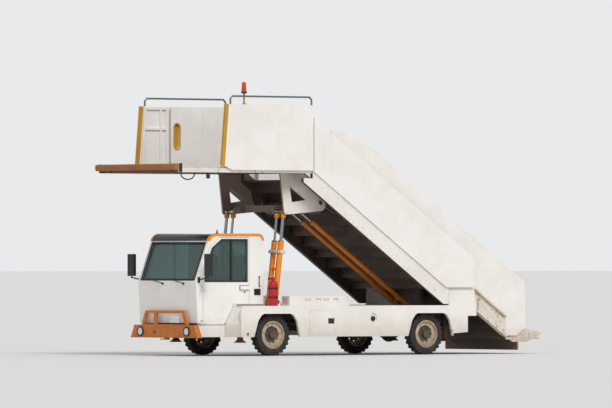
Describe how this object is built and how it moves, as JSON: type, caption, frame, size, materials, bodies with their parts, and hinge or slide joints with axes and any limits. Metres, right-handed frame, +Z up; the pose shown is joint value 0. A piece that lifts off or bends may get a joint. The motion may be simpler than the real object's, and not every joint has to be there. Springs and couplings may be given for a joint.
{
  "type": "self-propelled aircraft passenger stairs",
  "caption": "Low-cab vehicle carrying a telescoping passenger stair flight and a level platform over the cab, raised by lift cylinders.",
  "frame": {"origin": "on the ground, in the middle of the object's bounding box", "axes": "+X forward, +Y to the driver's left, +Z up"},
  "size_m": [8.32, 2.6, 4.8123],
  "materials": {
    "white_paint": "semi-gloss enamel, weathered",
    "orange_paint": "semi-gloss enamel",
    "frame_paint": "matt chassis enamel",
    "rim_paint": "worn enamel with rust",
    "tyre": "dusty black rubber",
    "black_plastic": "moulded",
    "seat_vinyl": "moulded seat shell",
    "window_glass": "tinted safety glass",
    "lamp_glass": "clear lens",
    "rod_chrome": "ground and plated",
    "tread_metal": "ribbed tread plate",
    "red_paint": "gloss enamel",
    "rusty_orange": "worn orange enamel, rusting",
    "yellow_paint": "semi-gloss enamel",
    "apron_wood": "weathered brown bumper rubber",
    "rail_steel": "galvanised tube",
    "roof_black": "dark tinted panel",
    "beacon_lens": "amber lens"
  },
  "bodies": {
    "chassis": {"chassis_frame": "frame_paint", "deck": "white_paint", "side_body_left": "white_paint", "side_body_right": "white_paint", "deck_lockers": "white_paint", "engine_block": "frame_paint", "front_axle": "frame_paint", "rear_axle": "frame_paint", "cab_shell": "white_paint", "roof_panel": "roof_black", "roof_trim": "orange_paint", "cab_glass": "window_glass", "cab_controls": "black_plastic", "cab_seats": "seat_vinyl", "front_bumper": "orange_paint", "headlamps": "lamp_glass", "mirrors": "black_plastic", "extinguisher": "red_paint", "pedestals": "white_paint", "lift_feet": "white_paint"},
    "knuckle_left": {"knuckle_left": "frame_paint"},
    "knuckle_right": {"knuckle_right": "frame_paint"},
    "door_left": {"door_left": "white_paint", "door_glass_left": "window_glass"},
    "door_right": {"door_right": "white_paint", "door_glass_right": "window_glass"},
    "lower_flight": {"lower_frame": "tread_metal", "lower_guards": "white_paint", "telescope_barrels": "orange_paint"},
    "upper_flight": {"upper_frame": "tread_metal", "upper_guards": "white_paint", "telescope_rods": "rod_chrome"},
    "platform": {"platform_deck": "tread_metal", "platform_walls": "white_paint", "edge_strips": "yellow_paint", "platform_brackets": "white_paint", "apron_bumper": "apron_wood", "platform_rails": "rail_steel", "beacon": "beacon_lens"},
    "guard_left": {"sliding_guard_left": "white_paint"},
    "guard_right": {"sliding_guard_right": "white_paint"},
    "barrels_left": {"lift_barrels_left": "orange_paint"},
    "rods_left": {"lift_rods_left": "rod_chrome"},
    "barrels_right": {"lift_barrels_right": "orange_paint"},
    "rods_right": {"lift_rods_right": "rod_chrome"},
    "wheel_front_left": {"tyre_front_left": "tyre", "rim_front_left": "rim_paint"},
    "jack_front_left": {"jack_front_left": "rusty_orange"},
    "wheel_front_right": {"tyre_front_right": "tyre", "rim_front_right": "rim_paint"},
    "jack_front_right": {"jack_front_right": "rusty_orange"},
    "wheel_rear_left": {"tyre_rear_left": "tyre", "rim_rear_left": "rim_paint"},
    "jack_rear_left": {"jack_rear_left": "rusty_orange"},
    "wheel_rear_right": {"tyre_rear_right": "tyre", "rim_rear_right": "rim_paint"},
    "jack_rear_right": {"jack_rear_right": "rusty_orange"}
  },
  "joints": [
    {"name": "steer_left", "type": "hinge", "parent": "chassis", "child": "knuckle_left", "pos_m": [1.95, 0.8, 0.37], "axis": [0, 0, 1], "range_deg": [-25, 25]},
    {"name": "spin_front_left", "type": "hinge", "parent": "knuckle_left", "child": "wheel_front_left", "pos_m": [1.95, 1.015, 0.37], "axis": [0, 1, 0], "continuous": true},
    {"name": "spin_rear_left", "type": "hinge", "parent": "chassis", "child": "wheel_rear_left", "pos_m": [-1.47, 1.015, 0.37], "axis": [0, 1, 0], "continuous": true},
    {"name": "door_left", "type": "hinge", "parent": "chassis", "child": "door_left", "pos_m": [3.302, 0.872, 1.2], "axis": [0, 0, -1], "range_deg": [0, 70]},
    {"name": "jack_front_left", "type": "slide", "parent": "chassis", "child": "jack_front_left", "axis": [0, 0, -1], "range_m": [0, 0.222]},
    {"name": "jack_rear_left", "type": "slide", "parent": "chassis", "child": "jack_rear_left", "axis": [0, 0, -1], "range_m": [0, 0.222]},
    {"name": "steer_right", "type": "hinge", "parent": "chassis", "child": "knuckle_right", "pos_m": [1.95, -0.8, 0.37], "axis": [0, 0, 1], "range_deg": [-25, 25]},
    {"name": "spin_front_right", "type": "hinge", "parent": "knuckle_right", "child": "wheel_front_right", "pos_m": [1.95, -1.015, 0.37], "axis": [0, 1, 0], "continuous": true},
    {"name": "spin_rear_right", "type": "hinge", "parent": "chassis", "child": "wheel_rear_right", "pos_m": [-1.47, -1.015, 0.37], "axis": [0, 1, 0], "continuous": true},
    {"name": "door_right", "type": "hinge", "parent": "chassis", "child": "door_right", "pos_m": [3.302, -0.872, 1.2], "axis": [0, 0, 1], "range_deg": [0, 70]},
    {"name": "jack_front_right", "type": "slide", "parent": "chassis", "child": "jack_front_right", "axis": [0, 0, -1], "range_m": [0, 0.222]},
    {"name": "jack_rear_right", "type": "slide", "parent": "chassis", "child": "jack_rear_right", "axis": [0, 0, -1], "range_m": [0, 0.222]},
    {"name": "flight_lift", "type": "hinge", "parent": "chassis", "child": "lower_flight", "pos_m": [-2.21, 0, 1.1], "axis": [0, -1, 0], "range_deg": [0, 6.5]},
    {"name": "flight_telescope", "type": "slide", "parent": "lower_flight", "child": "upper_flight", "axis": [0.8231, 0, 0.5679], "range_m": [0, 0.6005]},
    {"name": "platform_level", "type": "hinge", "parent": "upper_flight", "child": "platform", "pos_m": [0.786, 0, 2.7], "axis": [0, 1, 0], "range_deg": [0, 6.51]},
    {"name": "lift_swing_left", "type": "hinge", "parent": "chassis", "child": "barrels_left", "pos_m": [1.715, 0.745, 0.95], "axis": [0, 1, 0], "range_deg": [0, 8.38]},
    {"name": "lift_extend_left", "type": "slide", "parent": "barrels_left", "child": "rods_left", "axis": [-0.1198, 0, 0.9928], "range_m": [0, 0.7145]},
    {"name": "guard_slide_left", "type": "slide", "parent": "platform", "child": "guard_left", "axis": [1, 0, 0], "range_m": [0, 0.85]},
    {"name": "lift_swing_right", "type": "hinge", "parent": "chassis", "child": "barrels_right", "pos_m": [1.715, -0.745, 0.95], "axis": [0, 1, 0], "range_deg": [0, 8.38]},
    {"name": "lift_extend_right", "type": "slide", "parent": "barrels_right", "child": "rods_right", "axis": [-0.1198, 0, 0.9928], "range_m": [0, 0.7145]},
    {"name": "guard_slide_right", "type": "slide", "parent": "platform", "child": "guard_right", "axis": [1, 0, 0], "range_m": [0, 0.85]}
  ],
  "couplings": [
    {"joint": "steer_right", "follows": "steer_left", "ratio": 1},
    {"joint": "flight_telescope", "follows": "flight_lift", "m_per_rad": 5.2888},
    {"joint": "platform_level", "follows": "flight_lift", "ratio": 1},
    {"joint": "lift_swing_left", "follows": "flight_lift", "ratio": 1.2809},
    {"joint": "lift_extend_left", "follows": "flight_lift", "m_per_rad": 6.2804},
    {"joint": "lift_swing_right", "follows": "flight_lift", "ratio": 1.2809},
    {"joint": "lift_extend_right", "follows": "flight_lift", "m_per_rad": 6.2804}
  ]
}
